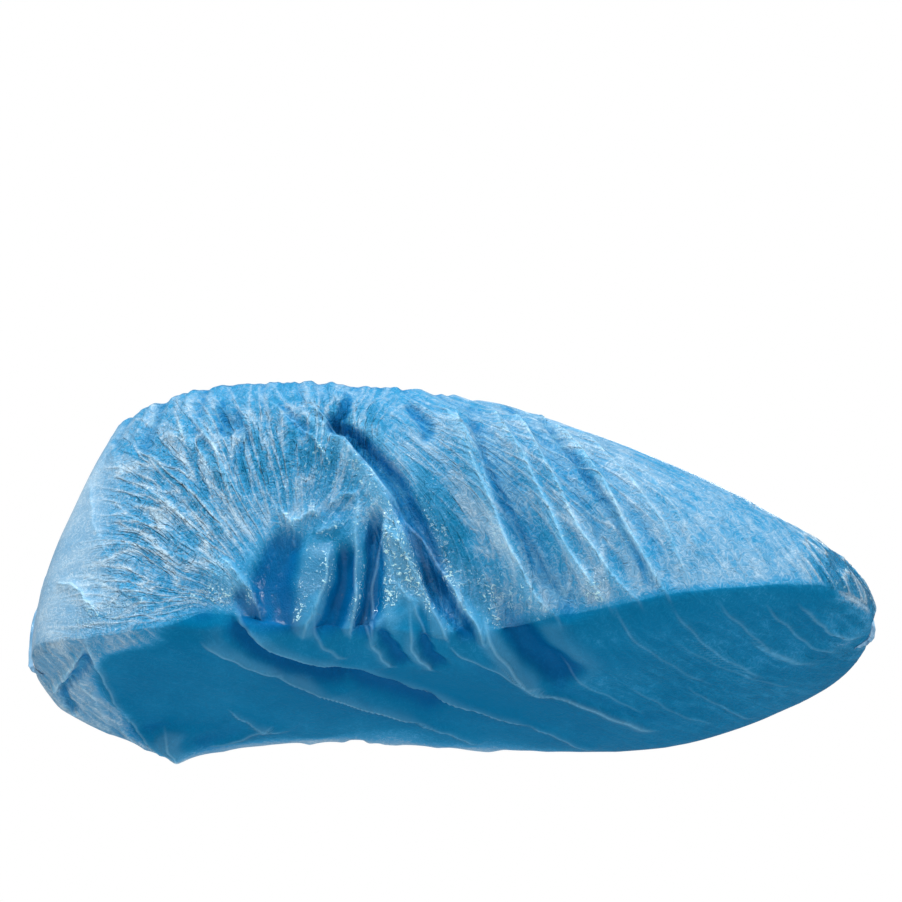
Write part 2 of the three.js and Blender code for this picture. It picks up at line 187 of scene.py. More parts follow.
# Folds of the sole: along, across, to_along, to_across, bow, wide, edge, high.
# across: share of BALL, below 0 on the near side.
SOLE_FOLDS = (
    (0.030, -0.56, 0.105, 0.02, 0.04, 3.0, 7.0, 3.4),
    (0.092, -0.06, 0.240, 0.56, -0.03, 2.2, 5.0, 2.6),
    (0.040, -0.66, 0.130, -0.10, 0.02, 9.0, 4.0, -5.0),
    (-0.010, -0.40, 0.100, -0.08, 0.03, 4.0, 2.0, 1.8),
    (-0.290, -0.56, -0.205, -0.22, 0.05, 5.0, 2.2, 2.0),
    (-0.212, -0.26, -0.040, 0.48, 0.03, 6.0, 2.2, 3.0),
    (-0.048, 0.46, 0.030, 0.74, 0.00, 4.0, 2.0, 2.0),
    (-0.262, -0.66, -0.120, -0.14, 0.05, 1.6, 6.5, -4.6),
    (-0.150, -0.28, -0.010, 0.26, -0.02, 1.8, 9.0, -3.0),
    (-0.262, -0.70, -0.120, -0.20, 0.05, 5.0, 1.6, 1.8),
    (-0.070, 0.00, 0.090, 0.44, 0.03, 5.0, 2.2, 2.6),
    (0.088, 0.43, 0.170, 0.82, 0.00, 4.0, 2.0, 1.8),
    (-0.270, 0.20, -0.205, 0.50, 0.10, 4.0, 2.0, 1.8),
    (-0.350, 0.40, -0.335, 0.95, 0.00, 12.0, 12.0, 7.0),
    (-0.485, 0.14, -0.432, -0.46, 0.03, 2.0, 2.4, 3.0),
    (-0.476, 0.16, -0.424, -0.42, 0.03, 2.6, 2.6, -2.6),
    (-0.424, -0.56, -0.398, 0.24, 0.02, 3.0, 1.8, 2.4),
    (-0.398, 0.24, -0.356, 0.66, 0.02, 3.0, 1.8, 2.4),
    (-0.478, 0.02, -0.455, 0.34, 0.10, 2.0, 2.0, 2.2),
    (-0.470, 0.10, -0.462, 0.30, 0.00, 2.4, 2.4, -3.0),
    (-0.462, -0.20, -0.425, 0.12, 0.06, 1.8, 1.8, 1.4),
    (-0.430, 0.02, -0.418, 0.40, 0.04, 1.8, 1.8, 1.0),
    (-0.410, 0.34, -0.362, 0.78, 0.02, 2.0, 3.0, 1.4),
    (-0.300, 0.62, -0.223, 0.40, 0.05, 3.0, 3.0, 1.8),
    (-0.168, -0.66, -0.128, -0.34, 0.10, 2.4, 4.5, 1.8),
    (-0.104, -0.60, -0.070, -0.22, 0.08, 2.6, 5.0, 2.0),
    (-0.056, -0.60, -0.026, -0.16, 0.08, 2.6, 4.5, 2.0),
    (-0.086, -0.60, -0.056, -0.24, 0.08, 2.6, 3.0, -2.6),
    (-0.040, -0.60, -0.016, -0.20, 0.08, 2.6, 3.0, -2.6),
    (-0.115, -0.54, -0.020, -0.60, 0.04, 1.6, 2.0, 1.2),
    (0.120, -0.30, 0.225, 0.30, 0.03, 3.0, 1.6, 1.0),
    (0.180, -0.75, 0.300, 0.02, 0.03, 3.0, 1.6, 1.0),
    (0.205, 0.00, 0.310, 0.56, 0.02, 3.0, 1.6, 0.9),
    (0.245, -0.80, 0.360, -0.02, 0.04, 3.0, 1.6, 1.1),
    (0.275, 0.04, 0.365, 0.60, 0.02, 3.0, 1.6, 0.9),
    (0.300, -0.80, 0.415, -0.05, 0.04, 3.0, 1.6, 1.1),
    (0.355, -0.72, 0.455, -0.04, 0.04, 3.0, 1.6, 1.2),
    (0.395, -0.66, 0.480, -0.10, 0.04, 2.4, 1.6, 1.6),
    (0.340, -0.40, 0.430, 0.00, 0.03, 3.0, 2.0, 1.0),
    (0.250, -0.50, 0.400, 0.20, 0.02, 4.0, 2.2, 0.8),
)

# Waves along each fold that keep its line from being straight: waves a fold, swing in mm.
FOLD_SWAY = ((9, 0.5), (23, 0.3))
# How far a fold takes to fade in and out at its ends, as a share of its length.
FOLD_ENDS = 0.22
# A smaller fold than this, in mm, gets a fainter painted highlight line on its crest.
FULL_CREST = 2.5
# How fast the painted highlight line fades beside the crest, and the distance where there is none, in
# mm.
CREST_REACH = 3.0
NO_CREST = 50.0

# Fine creases. long and broad: of one crease in mm, high in mm.
CREASES = (
    {"seed": 3, "long": 75.0, "broad": 8.5, "high": 1.05},
    {"seed": 8, "long": 48.0, "broad": 4.6, "high": 0.78},
    {"seed": 15, "long": 30.0, "broad": 2.9, "high": 0.52},
)
# Each way of laying creases has its own length: heel fan, walls, toe, sole.
STRETCH = (0.6, 1.0, 0.45, 1.0)
# The fan of creases at the heel runs towards this point: share of LENGTH, share of HEIGHT.
FAN = (-0.175, 0.04)
# Width in mm of one radian of the fan and of one turn round the foot.
FAN_WIDTH = 85
TURN_WIDTH = 620
WALL_DEPTH = 120
# How far the far side's creases are moved, so that the sides differ.
FAR_SHIFT = 300.0
# Bends of the fan in mm and the length of one bend.
BEND = 11
BEND_LENGTH = 26
# Direction of the creases under the sole, in degrees.
SOLE_LEAN = 47.0

# Patches of the film. tone: below 0 deep blue, above 0 pale. crisp: how finely it is creased.
# glint: how glossy it is, and how many painted glints (white flecks in its colour) it gets. soft: how
# soft the rim of the patch is.
# On the walls: along of LENGTH, up of HEIGHT, and the reach of each patch the same way.
WALL_PATCHES = (
    {"along": -0.50, "up": 0.45, "reach": (0.100, 0.75), "tone": 0.55, "crisp": -0.48},
    {"along": -0.33, "up": 0.62, "reach": (0.120, 0.40), "tone": 0.06, "crisp": 0.40},
    {"along": -0.36, "up": 0.26, "reach": (0.110, 0.24), "tone": 0.10, "crisp": 0.30},
    {"along": -0.17, "up": 0.72, "reach": (0.110, 0.22), "tone": -0.30, "crisp": 0.40},
    {"along": -0.15, "up": 0.18, "reach": (0.110, 0.28), "tone": -1.00, "crisp": -0.60},
    {"along": -0.02, "up": 0.40, "reach": (0.060, 0.30), "tone": -0.45, "crisp": 0.10},
    {"along": 0.04, "up": 0.20, "reach": (0.080, 0.20), "tone": -0.30, "crisp": 0.10},
    {"along": 0.10, "up": 0.70, "reach": (0.140, 0.34), "tone": 0.15, "crisp": 0.10},
    {"along": 0.34, "up": 0.45, "reach": (0.200, 0.34), "tone": 0.10, "crisp": 0.05},
    {"along": 0.475, "up": 0.28, "reach": (0.070, 0.26), "tone": -0.75, "crisp": 0.1, "soft": 0.35},
    {"along": 0.52, "up": 0.16, "reach": (0.045, 0.16), "tone": -0.90, "crisp": 0.1, "soft": 0.4},
)
# Glossy spots of the walls, with painted glints: along, up, reach both ways, glint.
WALL_GLINTS = (
    (0.00, 0.50, 1.000, 1.00, 0.16),
    (0.045, 0.18, 0.060, 0.15, 0.7),
    (0.125, 0.13, 0.040, 0.05, 0.8),
    (-0.05, 0.25, 0.050, 0.26, 0.7),
    (0.055, 0.14, 0.040, 0.10, 0.7),
    (-0.083, 0.42, 0.020, 0.07, 0.6),
    (-0.040, 0.22, 0.020, 0.10, 0.5),
    (-0.115, 0.12, 0.016, 0.12, 0.5),
    (-0.185, 0.12, 0.016, 0.10, 0.5),
    (-0.228, 0.16, 0.020, 0.10, 0.6),
    (0.080, 0.70, 0.120, 0.20, 0.15),
    (-0.13, 0.20, 0.080, 0.20, 0.3),
    (-0.15, 0.55, 0.090, 0.20, 0.35),
    (-0.28, 0.12, 0.060, 0.08, 0.8),
    (-0.40, 0.12, 0.050, 0.06, 0.6),
    (0.47, 0.30, 0.050, 0.16, 0.4),
)
WALL_PATCHES += tuple(
    {"along": along, "up": up, "reach": (reach_x, reach_z), "glint": glint}
    for along, up, reach_x, reach_z, glint in WALL_GLINTS
)
SOFT = 0.9
# Where the lower edge of the wall sways.
ARCH = {"along": -0.10, "up": 0.10, "reach": (0.180, 0.30)}
# How far the noise moves the rims of the patches, in mm.
PATCH_SWAY = 14
# Crispness of the film outside all patches.
PLAIN_CRISP = 0.5
# Under the sole: along of LENGTH, across of BALL.
SOLE_PATCHES = (
    # The first patch makes the whole sole deep blue: painted shade of the underside, together with the
    # darker look of the film over a black boot sole.
    {"along": 0.04, "across": 0.0, "reach": (0.61, 1.70), "tone": -0.85, "crisp": -0.45, "soft": 0.04},
    {"along": -0.16, "across": 0.95, "reach": (0.40, 0.42), "tone": 1.20, "crisp": 0.10, "soft": 0.5},
    {"along": -0.11, "across": -0.62, "reach": (0.170, 0.45), "tone": 0.30, "crisp": 0.00},
    {"along": -0.08, "across": 0.10, "reach": (0.160, 0.40), "tone": -0.25},
    {"along": 0.10, "across": -0.45, "reach": (0.080, 0.40), "tone": -0.20},
    {"along": 0.32, "across": 0.00, "reach": (0.220, 1.00), "tone": 0.12, "crisp": 0.34},
    {"along": 0.47, "across": -0.25, "reach": (0.04, 0.50), "tone": 0.25, "crisp": 0.30, "soft": 0.4},
    {"along": -0.50, "across": 0.00, "reach": (0.120, 1.40), "tone": 0.28},
    {"along": -0.02, "across": 0.28, "reach": (0.260, 0.22), "tone": -0.30},
    {"along": -0.16, "across": 0.30, "reach": (0.100, 0.30), "tone": 0.20},
)

# Size of the film for its UV layer, in metres: once round, and from the rim to the sole's edge.
CUT_AROUND = 0.82
CUT_DEPTH = 0.13

# The elastic band: steps round its section, and how square that is (1 is an ellipse).
BAND_STEPS = 16
BAND_SQUARE = 0.5

# The seals, in mm: height, half thickness at the top, what the foot adds to it, sway of the top.
FIN_HEIGHT = 2.2
FIN_HALF = 0.16
FIN_FOOT = 0.3
FIN_SWAY = 0.9
SEAL_STEPS = 90
SEAL_ROWS = 6
SEAL_SEED = 5
# Each seal's name, its CAD node, its turn round the foot and the drops where it starts and ends.
SEALS = (
    ("toe_edge", "toe_seal", (0.5, 0.5, 1.25)),
    ("heel_edge", "heel_seal", (0.0, 0.35, 1.2)),
)

# Colours of the film, from deep to pale.
FILM_TONES = (
    (0.05, (0.000, 0.165, 0.360)),
    (0.28, (0.006, 0.215, 0.440)),
    (0.50, (0.040, 0.310, 0.590)),
    (0.72, (0.235, 0.455, 0.665)),
    (0.95, (0.520, 0.700, 0.830)),
)
# In the hollows the colour is multiplied (painted shade), on the crests it is added to (painted
# highlight), and sparks replace it (painted glints).
FILM_SHADE = (0.120, 0.600, 0.800, 1)
FILM_CREST_HIGHLIGHT = (0.140, 0.235, 0.270, 1)
FILM_PAINTED_GLINT = (0.580, 0.930, 1.000, 1)
# Painted shade in the hollows: relief in mm that is fully deep and its share, a groove's share and its
# full depth in mm.
HOLLOW = {"span": 1.6, "share": 0.60, "groove": 0.9, "full": 4.0}
# Crests, lightened as a painted highlight: relief in mm where they start, its span, their share, and
# what crispness adds to it.
CREST_HIGHLIGHT = {"start": 0.2, "span": 1.8, "share": 0.30, "crisp": 0.25}
# Columns to each side over which the mean height of the film is taken, one pass each.
MEAN_REACHES = (3, 6, 9)
# Crispness inside the hem, where no creases are laid.
HEM_CRISP = 0.4

# Noises of the film's shader, per metre.
CLOUD = {"Scale": 26.0, "Detail": 5.0, "Roughness": 0.62}
CRUMPLE = {"Scale": 130.0, "Detail": 4.0, "Roughness": 0.65, "Distortion": 0.6}
GRAIN = {"Scale": 1400.0, "Detail": 1.0, "Roughness": 0.5}
CRINKLE = {"Scale": 300.0, "Detail": 2.0, "Roughness": 0.55, "Distortion": 1.4}
CELLS = {"Scale": 150.0, "Detail": 1.0, "Roughness": 0.6}
FLECKS = {"Scale": 650.0, "Detail": 2.0, "Roughness": 0.6, "Distortion": 1.0}
WAVES = {"Scale": 1.0, "Detail": 1.0, "Roughness": 0.4, "Distortion": 0.5}
# Creases of the shader, per metre across, and how many times longer than broad they are.
LINES = {"scale": 190.0, "stretch": 5.0}
THIN_LINES = {"scale": 430.0, "stretch": 5.0}
CREASE_SHARP = 7.0
CREASE_POWER = 1.5
CELL_BEND = 0.012
# How much each of them changes the tone of the film. The lines make the crease crests lighter and the
# film between them darker: painted highlight and shade.
TONE = {"cloud": 0.55, "lines": 0.36, "wrinkle": 3.2, "cells": 0.22, "fleck": 0.45}
LINES_MEAN = 0.25
WRINKLE_WIDTH = 0.045
FACET_MEAN = 0.09
SEAL_TONE = {"cloud": 1.2, "base": 0.74}
# Relief of the film, in metres.
RELIEF = {
    "crumple": 0.0018,
    "cells": 0.0008,
    "facet": 0.0012,
    "lines": 0.0006,
    "thin": 0.0004,
    "ridge": 0.0006,
    "flecks": 0.0018,
    "grain": 0.0003,
}
CRUMPLE_STRENGTH = 0.35
RIDGE_STRENGTH = 0.7
GRAIN_STRENGTH = 0.30
# Painted highlight lines along the crests: half width in mm and how strongly the cloud draws them.
RIDGE_WIDTH = 0.90
RIDGE_BREAK = 1.4
# Sparks, which are painted glints: how much glint helps, where they start, how sharp, and what raises
# or drowns them.
SPARK = {"glint": 0.09, "start": 0.65, "sharp": 12.0}
RAISED = {"base": 0.80, "crest": 4.0, "line": 0.8, "fold": 1.6}
# Gloss of the film: roughness, and clear coat that comes with the glint.
GLOSS = {"rough": 0.36, "gloss_and_painted_glint": 0.18, "coat": 0.02, "wet_coat": 0.90}
SEAL_GLOSS = {"rough": 0.36, "coat": 0.15}
COAT_ROUGHNESS = 0.08
FILM_IOR = 1.10
FILM_SHEEN = (0.80, 0.92, 1.0, 1)

# White elastic and floor.
ELASTIC_NOISE = {"Scale": 700.0, "Detail": 2.0}
ELASTIC_TONES = ((0.3, (0.62, 0.68, 0.72)), (0.7, (0.85, 0.88, 0.9)))
ELASTIC_ROUGHNESS = 0.75
ELASTIC_BUMP = {"Strength": 0.4, "Distance": 0.0004}
FLOOR_COLOR = (0.86, 0.87, 0.88)
FLOOR_ROUGHNESS = 0.8

# Camera and floor, in metres and degrees.
LENS = 85
SENSOR = 36
ELEVATION = -36.0
DISTANCE = 0.903
AIM = (-0.002, 0.1165)
FLOOR = -0.62
FLOOR_SIZE = 14
# Strength of the white sky as a light. Seen by the camera it is plain white.
SKY = 0.35
# Lights: place, the point they face, size in metres, power in watts.
LIGHTS = (
    {"name": "key", "place": (-0.45, -0.75, 1.15), "aim": (0, 0, 0.05), "size": 0.30, "power": 12},
    {"name": "side", "place": (1.1, -0.7, 0.55), "aim": (0, 0, 0.05), "size": 0.35, "power": 7},
    {"name": "glint", "place": (-0.25, -1.05, 0.75), "aim": (0, 0, 0.06), "size": 0.07, "power": 6},
    {"name": "back", "place": (0.2, 1.2, 0.9), "aim": (0, 0, 0.05), "size": 0.6, "power": 6},
)

BODY = "root"


def smooth(v):
    """0 below 0, 1 above 1, with a smooth rise between them."""
    s = np.clip(v, 0.0, 1.0)
    return s * s * (3 - 2 * s)


def rib(name, turn):
    """Smooth closed curve through one column of the rib table."""
    rows = np.array(RIBS)
    at = rows[:, 0]
    value = rows[:, RIB_COLUMNS.index(name)]
    n = len(at)
    a = np.mod(turn, 1.0)
    k = np.searchsorted(at, a, side="right") - 1

    def place(i):
        return at[i % n] + i // n

    step = place(k + 1) - place(k)
    u = (a - place(k)) / step
    low, high = value[k % n], value[(k + 1) % n]
    rate_low = (high - value[(k - 1) % n]) * step / (place(k + 1) - place(k - 1))
    rate_high = (value[(k + 2) % n] - low) * step / (place(k + 2) - place(k))
    return ((2 * u**3 - 3 * u**2 + 1) * low + (u**3 - 2 * u**2 + u) * rate_low
            + (3 * u**2 - 2 * u**3) * high + (u**3 - u**2) * rate_high)


def spine_height(x):
    """Height of the sole's centre line."""
    along = x / LENGTH
    rows = np.array(SPINE_LINE)
    k = np.clip(np.searchsorted(rows[:, 0], along, side="right") - 1, 0, len(rows) - 2)
    share = smooth((along - rows[k, 0]) / (rows[k + 1, 0] - rows[k, 0]))
    return HEIGHT * (rows[k, 1] + (rows[k + 1, 1] - rows[k, 1]) * share)


def even(turn):
    """Moves the columns so that they stand evenly along the sides."""
    return turn + EVEN * np.sin(2 * TAU * turn) / (2 * TAU)


def bezier(p, q, r, s, u):
    """Points of a cubic curve with four control points."""
    u = u[..., None]
    v = 1 - u
    return v**3 * p + 3 * v**2 * u * q + 3 * v * u**2 * r + u**3 * s


def form(turn, drop):
    """The smooth form. drop: 0 rim, 1 edge of the sole, 2 centre line of the sole."""
    turn, drop = np.broadcast_arrays(turn, drop)
    place = even(turn)
    c = np.cos(TAU * place)
    s = np.sin(TAU * place)
    nil = np.zeros_like(c)
    up = np.stack([nil, nil, nil + 1], -1)
    outward = np.stack([-c, -s, nil], -1)

    def size(name):
        return (rib(name, place) * HEIGHT)[..., None]

    high = size("rim")[..., 0]
    rim = np.stack([OPEN_SHIFT - OPEN_LENGTH / 2 * c, -OPEN_WIDTH / 2 * s, high], -1)
    side = rib("half", place) * BALL * np.sign(s) * np.abs(s) ** BLUNT
    edge = np.stack([SOLE_SHIFT - LENGTH / 2 * c, -side, size("lift")[..., 0] + EDGE], -1)
    lead = rim + outward * size("out") - up * size("down")
    bring = edge + outward * size("belly") + up * size("stand")
    wall = bezier(rim, lead, bring, edge, np.clip(drop, -0.02, 1))
    x = SOLE_SHIFT - LENGTH / 2 * SPINE * c
    spine = np.stack([x, nil, spine_height(x)], -1)
    under = edge - outward * TUCK - up * EDGE * TUCK_DOWN
    flat = spine + (edge - spine) * FLAT_FROM
    flat[..., 2] = spine[..., 2]
    sole = bezier(edge, under, flat, spine, np.clip(drop - 1, 0, 1))
    return np.where((drop > 1)[..., None], sole, wall)


def unit(v):
    """The same directions, each one long."""
    return v / np.maximum(np.linalg.norm(v, axis=-1, keepdims=True), 1e-12)


def facing(turn, drop):
    """Direction in which folds stand out: square to the wall, straight down under the sole."""
    turn, drop = np.broadcast_arrays(turn, drop)
    step = 0.002
    start = np.clip(drop, step, 1 - step)
    along = form(turn + step, start) - form(turn - step, start)
    down = form(turn, start + step) - form(turn, start - step)
    out = unit(np.cross(down, along))
    below = np.zeros_like(out)
    below[..., 2] = -1
    share = smooth((drop - 0.85) / 0.4)[..., None]
    return unit(out * (1 - share) + below * share)


def fold(px, py, ax, ay, bx, by, bow, wide, edge, high):
    """One fold at many points: its height, its taper and the distance from its line."""
    dx, dy = bx - ax, by - ay
    long = math.hypot(dx, dy)
    run = ((px - ax) * dx + (py - ay) * dy) / long**2
    part = np.clip(run, 0, 1)
    off = ((py - ay) * dx - (px - ax) * dy) / long - 4 * bow * long * part * (1 - part)
    for (waves, swing), start in zip(FOLD_SWAY, (ax, ay)):
        off = off + swing * np.sin(part * waves + start)
    breadth = np.where(off < 0, wide, edge) * (0.65 + 0.5 * part)
    taper = smooth((run + 0.06) / FOLD_ENDS) * smooth((1.08 - run) / FOLD_ENDS)
    if high > 0:
        profile = np.exp(0.12 - np.sqrt((off / breadth) ** 2 * 1.8 + 0.0144))
    else:
        profile = np.exp(-((off / breadth) ** 2) ** 1.6)
    return high * taper * profile, taper, off


def lattice(ix, iy, seed):
    """A fixed value between 0 and 1 for each whole place."""
    v = np.sin(ix * 127.1 + iy * 311.7 + seed * 74.7) * 43758.5453
    return v - np.floor(v)


def noise(u, v, seed):
    """Smooth value noise between 0 and 1."""
    iu, iv = np.floor(u), np.floor(v)
    fu, fv = smooth(u - iu), smooth(v - iv)
    low = lattice(iu, iv, seed) * (1 - fu) + lattice(iu + 1, iv, seed) * fu
    high = lattice(iu, iv + 1, seed) * (1 - fu) + lattice(iu + 1, iv + 1, seed) * fu
    return low * (1 - fv) + high * fv


def crests(u, v, seed):
    """Sharp crests between flat facets, 0 to 1."""
    warp = noise(u * 0.31 + 3.1, v * 0.9, seed + 5) * 1.6
    a = 1 - np.abs(2 * noise(u + warp, v, seed) - 1)
    b = 1 - np.abs(2 * noise(u * 1.9 + 7.3 + warp, v * 1.6, seed + 11) - 1)
    strong = 0.35 + 0.65 * smooth(noise(u * 0.23, v * 1.3, seed + 17) * 1.8 - 0.4)
    return (0.65 * a**2.6 + 0.35 * b**2.6) * strong


def layouts(turn, drop, p):
    """Ways in which creases are laid, each with its place across and along and its share."""
    x, y, z = p[..., 0], p[..., 1], p[..., 2]
    s = np.sin(TAU * even(turn))
    bend_x = BEND * (noise(x / BEND_LENGTH, z / BEND_LENGTH + y / 90, 51) - 0.5)
    bend_z = BEND * (noise(x / BEND_LENGTH, z / BEND_LENGTH + y / 90, 57) - 0.5)
    fan_x = x + bend_x - FAN[0] * LENGTH
    fan_z = z + bend_z - FAN[1] * HEIGHT
    away = np.hypot(fan_x, fan_z)
    heel = smooth((-0.06 * LENGTH - x + 0.35 * (z - 60)) / 30)
    heel = heel * smooth(np.abs(s) / 0.5)
    wall = 1 - smooth((drop - 0.96) / 0.08)
    lean = math.radians(SOLE_LEAN)
    toe = smooth((np.abs(turn - 0.5) - 0.04) / 0.05)
    mid = 1 - 0.85 * smooth((x / LENGTH - 0.16) / 0.2) * wall
    side = np.where(y < 0, 0.0, FAR_SHIFT)
    crumpled = smooth((x / LENGTH - 0.38) / 0.06) * wall
    on_wall = wall * (1 - heel) * mid * (0.35 + 0.65 * toe)
    on_toe = 0.6 * wall * (1 - mid) + 0.5 * wall * (1 - toe) + 2.2 * crumpled
    return (
        (np.arctan2(fan_z, -fan_x) * FAN_WIDTH + side, away, wall * heel),
        (turn * TURN_WIDTH, drop * WALL_DEPTH + side, on_wall),
        (x + 0.5 * z + side, z - 0.5 * x + 2 * y, on_toe),
        (
            y * math.cos(lean) - x * math.sin(lean),
            x * math.cos(lean) + y * math.sin(lean),
            1 - wall,
        ),
    )


def creases(ways, seed, long, broad, high):
    """Fine creases over the whole film, along the pull of the film at each place."""
    total = 0
    for n, (across, along, share) in enumerate(ways):
        length = long * STRETCH[n]
        total = total + share * crests(across / broad, along / length, seed + 20 * n)
    return high * (total - 0.4)


def folds(turn, drop, p, marks=False):
    """Height of all folds. With marks: distance and share of the nearest crest, and the hollows."""
    s = np.sin(TAU * even(turn))
    on_wall = 1 - smooth((drop - 1.0) / 0.35)
    on_sole = smooth((drop - 0.85) / 0.3)
    total = np.zeros_like(s)
    hollow = np.zeros_like(s)
    near = np.full_like(s, NO_CREST)
    share = np.zeros_like(s)
    rows = []
    for side, *row in WALL_FOLDS:
        rows.append((smooth(-side * s / 0.35) * on_wall, p[..., 2], HEIGHT, row))
    for row in SOLE_FOLDS:
        rows.append((on_sole, p[..., 1], BALL, row))
    for keep, second, scale, (ax, ay, bx, by, *shape) in rows:
        line = (ax * LENGTH, ay * scale, bx * LENGTH, by * scale)
        made, taper, off = fold(p[..., 0], second, *line, *shape)
        high = shape[-1]
        total += keep * made
        if high < 0:
            hollow = np.maximum(hollow, -keep * made / max(HOLLOW["full"], -high))
            continue
        strength = keep * taper * min(1, high / FULL_CREST)
        closer = (strength > 0.02) & (np.abs(off) < np.abs(near))
        near = np.where(closer, off, near)
        share = np.where(closer, strength, share)
    if marks:
        return near, share, hollow
    crisp = np.clip(painted(drop, p)[1], 0.12, 1.2)
    ways = layouts(turn, drop, p)
    for row in CREASES:
        total += creases(ways, **row) * crisp
    return total


def patch(px, py, second, row, scale):
    """1 in the middle of an oval patch, 0 outside it."""
    reach = row["reach"]
    far_x = (px - row["along"] * LENGTH) / (reach[0] * LENGTH)
    far_y = (py - row[second] * scale) / (reach[1] * scale)
    soft = row.get("soft", SOFT)
    return 1 - smooth((np.hypot(far_x, far_y) - 0.75 + soft / 2) / soft)


def painted(drop, p):
    """Tone, crispness and glint of the film at each point."""
    arch = patch(p[..., 0], p[..., 2], "up", ARCH, HEIGHT)
    sway = (noise(p[..., 0] / 9, 0 * drop, 41) - 0.35) * arch
    moved = noise(p[..., 0] / 18 + p[..., 2] / 30, p[..., 1] / 16, 9) - 0.5
    p = p + PATCH_SWAY * moved[..., None]
    on_sole = smooth((drop - 0.97 + 0.16 * sway) / 0.06)
    found = {}
    for key, start in (("tone", 0.0), ("crisp", PLAIN_CRISP), ("glint", 0.0)):
        wall = np.zeros_like(drop)
        for row in WALL_PATCHES:
            wall += row.get(key, 0) * patch(p[..., 0], p[..., 2], "up", row, HEIGHT)
        sole = np.zeros_like(drop)
        for row in SOLE_PATCHES:
            sole += row.get(key, 0) * patch(p[..., 0], p[..., 1], "across", row, BALL)
        found[key] = start + wall * (1 - on_sole) + sole * on_sole
    return found["tone"], found["crisp"], found["glint"]


def ring_noise(turn, cells, seed):
    """Noise round the opening that meets itself, -0.5 to 0.5."""
    radius = cells / TAU
    return noise(radius * np.cos(TAU * turn) + 50, radius * np.sin(TAU * turn) + 50, seed) - 0.5


def ring_sum(turn, rows):
    """Several noises round the opening, each with its share."""
    return sum(row["share"] * ring_noise(turn, row["cells"], row["seed"]) for row in rows)


def gathers(turn, drop):
    """Height of the gathers at the rim."""
    total = np.zeros(np.broadcast(turn, drop).shape)
    for row in GATHERS:
        waves, reach = row["waves"], row["reach"]
        uneven = 0.65 + 0.35 * np.sin(TAU * (waves // 7) * turn + 1) * np.cos(TAU * 3 * turn)
        sway = row["phase"] + 1.6 * np.sin(TAU * 9 * turn) + 1.2 * np.sin(TAU * 4 * turn + 2)
        fade = 1 - smooth((drop - HEM_DROP) / reach)
        total = total + row["high"] * uneven * fade * np.cos(TAU * waves * turn + sway)
    for row in RAGGED:
        fade = 1 - smooth((drop - HEM_DROP) / row["reach"])
        total = total + row["high"] * fade * ring_noise(turn, row["cells"], row["seed"])
    return total


def film(turn, drop, below):
    """A point of the film, so far below its outer face."""
    turn, drop = np.broadcast_arrays(turn, drop)
    p = form(turn, drop)
    out = facing(turn, drop)
    fade_in = smooth((drop - HEM_DROP) / 0.12)
    stand = fade_in * folds(turn, drop, p) + gathers(turn, drop) - below
    rise = SCALLOP * (1 - smooth(drop / 0.3)) * ring_sum(turn, SCALLOP_NOISES)
    for at, reach, high in RIM_BENDS:
        bend = np.exp(-((p[..., 0] / LENGTH - at) / reach) ** 2)
        rise = rise + high * bend * (1 - smooth(drop / 0.45))
    p = p + out * stand[..., None]
    loose = np.exp(-((drop - 1) / 0.10) ** 2) * (1 - 0.8 * smooth(p[..., 0] / LENGTH / 0.2))
    rise = rise + RAG * loose * ring_sum(turn, RAG_NOISES)
    p[..., 2] += rise - FILM
    return p


def hem_top(turn, radius, angle):
    """The bend of the hem over the rim, at one angle."""
    middle = FILM + POCKET / 2
    up = unit(film(turn, 0 * turn, middle) - film(turn, 0 * turn + 0.02, middle))
    return film(turn, 0 * turn, middle - radius * math.cos(angle)) + up * radius * math.sin(angle)


def add_mesh(name, points, faces, uvs=None, marks=None):
    """A smooth mesh object from points in mm, with values for the shader at each point."""
    mesh = bpy.data.meshes.new(name)
    mesh.from_pydata((points / PER_METRE).tolist(), [], faces)
    mesh.validate()
    mesh.update()
    for polygon in mesh.polygons:
        polygon.use_smooth = True
    if uvs is not None:
        layer = mesh.uv_layers.new(name="cut")
        index = np.empty(len(mesh.loops), dtype=np.int64)
        mesh.loops.foreach_get("vertex_index", index)
        layer.data.foreach_set("uv", uvs[index].astype(np.float32).ravel())
    for key, value in (marks or {}).items():
        if value.ndim == 2:
            made = mesh.attributes.new(key, "FLOAT_VECTOR", "POINT")
            made.data.foreach_set("vector", value.astype(np.float32).ravel())
        else:
            made = mesh.attributes.new(key, "FLOAT", "POINT")
            made.data.foreach_set("value", value.astype(np.float32))
    obj = bpy.data.objects.new(name, mesh)
    bpy.context.collection.objects.link(obj)
    return obj


def film_faces(count, columns):
    """Faces between the rows of the film, and its points: the first row is one line, not a ring."""
    index = np.arange(count * columns).reshape(count, columns)
    index[0] = np.minimum(np.arange(columns), (columns - np.arange(columns)) % columns)
    used = np.unique(index)
    place = np.zeros(count * columns, dtype=np.int64)
    place[used] = np.arange(len(used))
    faces = []
    for j in range(count - 1):
        for i in range(columns):
            k = (i + 1) % columns
            quad = [index[j, i], index[j, k], index[j + 1, k], index[j + 1, i]]
            kept = [v for n, v in enumerate(quad) if v != quad[n - 1]]
            if len(kept) > 2:
                faces.append([int(place[v]) for v in kept])
    return faces, used


